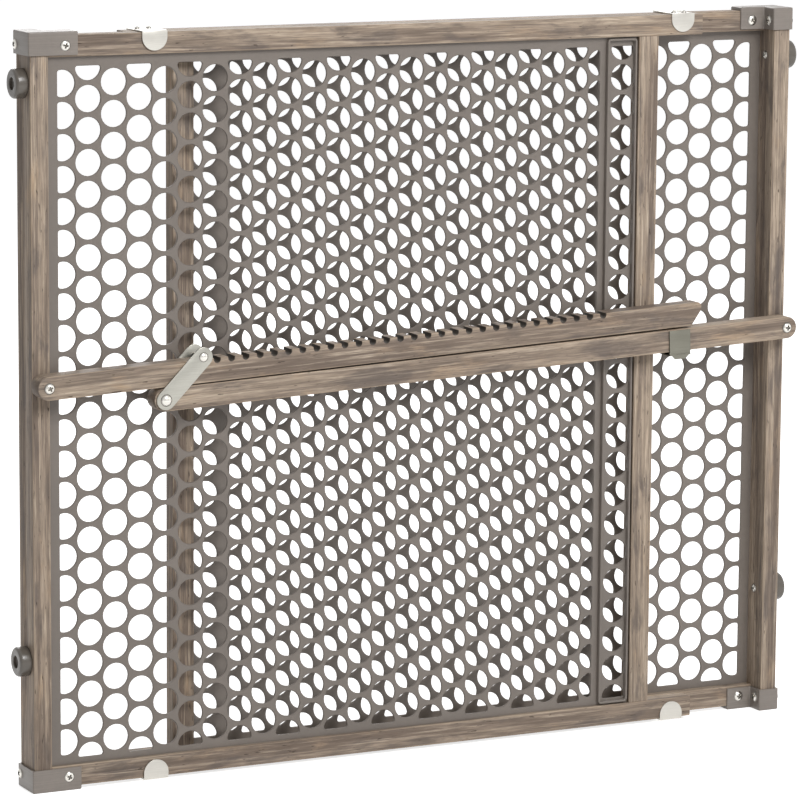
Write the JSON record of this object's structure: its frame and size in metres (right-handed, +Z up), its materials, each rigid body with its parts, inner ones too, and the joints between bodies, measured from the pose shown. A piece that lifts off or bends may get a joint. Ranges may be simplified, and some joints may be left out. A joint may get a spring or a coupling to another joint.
{
  "type": "safety baby gate",
  "caption": "Pressure-fit doorway gate: two overlapping wooden frames with perforated plastic grilles, slid apart and locked by a notched lever, link and strut.",
  "frame": {"origin": "centre of the bounding box's underside, on the floor under the closed gate", "axes": "+X across the doorway to the gate's right as seen from the front, the front faces -Y, +Z up"},
  "size_m": [0.711, 0.0558, 0.61],
  "materials": {
    "wood": "satin weathered grey-brown, straight grain",
    "grille_plastic": "fine satin",
    "cap_plastic": "satin",
    "bumper_plastic": "satin",
    "washer_plastic": "satin",
    "screw_steel": "bright nickel",
    "link_steel": "satin nickel"
  },
  "bodies": {
    "front_panel": {"front_post": "wood", "front_top_rail": "wood", "front_bottom_rail": "wood", "front_stile": "wood", "front_grille": "grille_plastic", "front_top_cap": "cap_plastic", "front_bottom_cap": "cap_plastic", "front_cap_screws": "screw_steel", "front_top_bumper": "bumper_plastic", "front_bottom_bumper": "bumper_plastic", "front_bumper_screws": "screw_steel", "front_top_clip": "link_steel", "front_bottom_clip": "link_steel", "front_clip_screws": "screw_steel", "front_frame_dowels": "wood", "lever_pivot_screw": "screw_steel", "lever_washer": "washer_plastic"},
    "rear_panel": {"rear_post": "wood", "rear_top_rail": "wood", "rear_bottom_rail": "wood", "rear_stile": "wood", "rear_grille": "grille_plastic", "rear_top_cap": "cap_plastic", "rear_bottom_cap": "cap_plastic", "rear_cap_screws": "screw_steel", "rear_top_bumper": "bumper_plastic", "rear_bottom_bumper": "bumper_plastic", "rear_bumper_screws": "screw_steel", "rear_top_clip": "link_steel", "rear_bottom_clip": "link_steel", "rear_clip_screws": "screw_steel", "rear_frame_dowels": "wood", "strut_pivot_screw": "screw_steel", "strut_washer": "washer_plastic"},
    "lever": {"notched_lever": "wood"},
    "strut": {"strut": "wood"},
    "link": {"link_front_plate": "link_steel", "link_rear_plate": "link_steel", "link_notch_pin": "link_steel", "link_lower_rivet": "link_steel"},
    "lock_clip": {"lock_clip": "link_steel"}
  },
  "joints": [
    {"name": "width_slide", "type": "slide", "parent": "front_panel", "child": "rear_panel", "axis": [1, 0, 0], "range_m": [0, 0.352]},
    {"name": "lever_lift", "type": "hinge", "parent": "front_panel", "child": "lever", "pos_m": [-0.338, -0.0154, 0.331], "axis": [0, -1, 0], "range_deg": [0, 8]},
    {"name": "strut_level", "type": "hinge", "parent": "rear_panel", "child": "strut", "pos_m": [0.338, -0.0154, 0.3385], "axis": [0, 1, 0], "range_deg": [0, 2]},
    {"name": "link_turn", "type": "hinge", "parent": "strut", "child": "link", "pos_m": [-0.239, -0.0154, 0.3153], "axis": [0, -1, 0], "range_deg": [0, 60]},
    {"name": "lock_slide", "type": "slide", "parent": "strut", "child": "lock_clip", "axis": [0.9992, 0, 0.0402], "range_m": [0, 0.045]}
  ],
  "couplings": [
    {"joint": "strut_level", "follows": "width_slide", "rad_per_m": 0.0767},
    {"joint": "link_turn", "follows": "lever_lift", "ratio": 6.5}
  ]
}
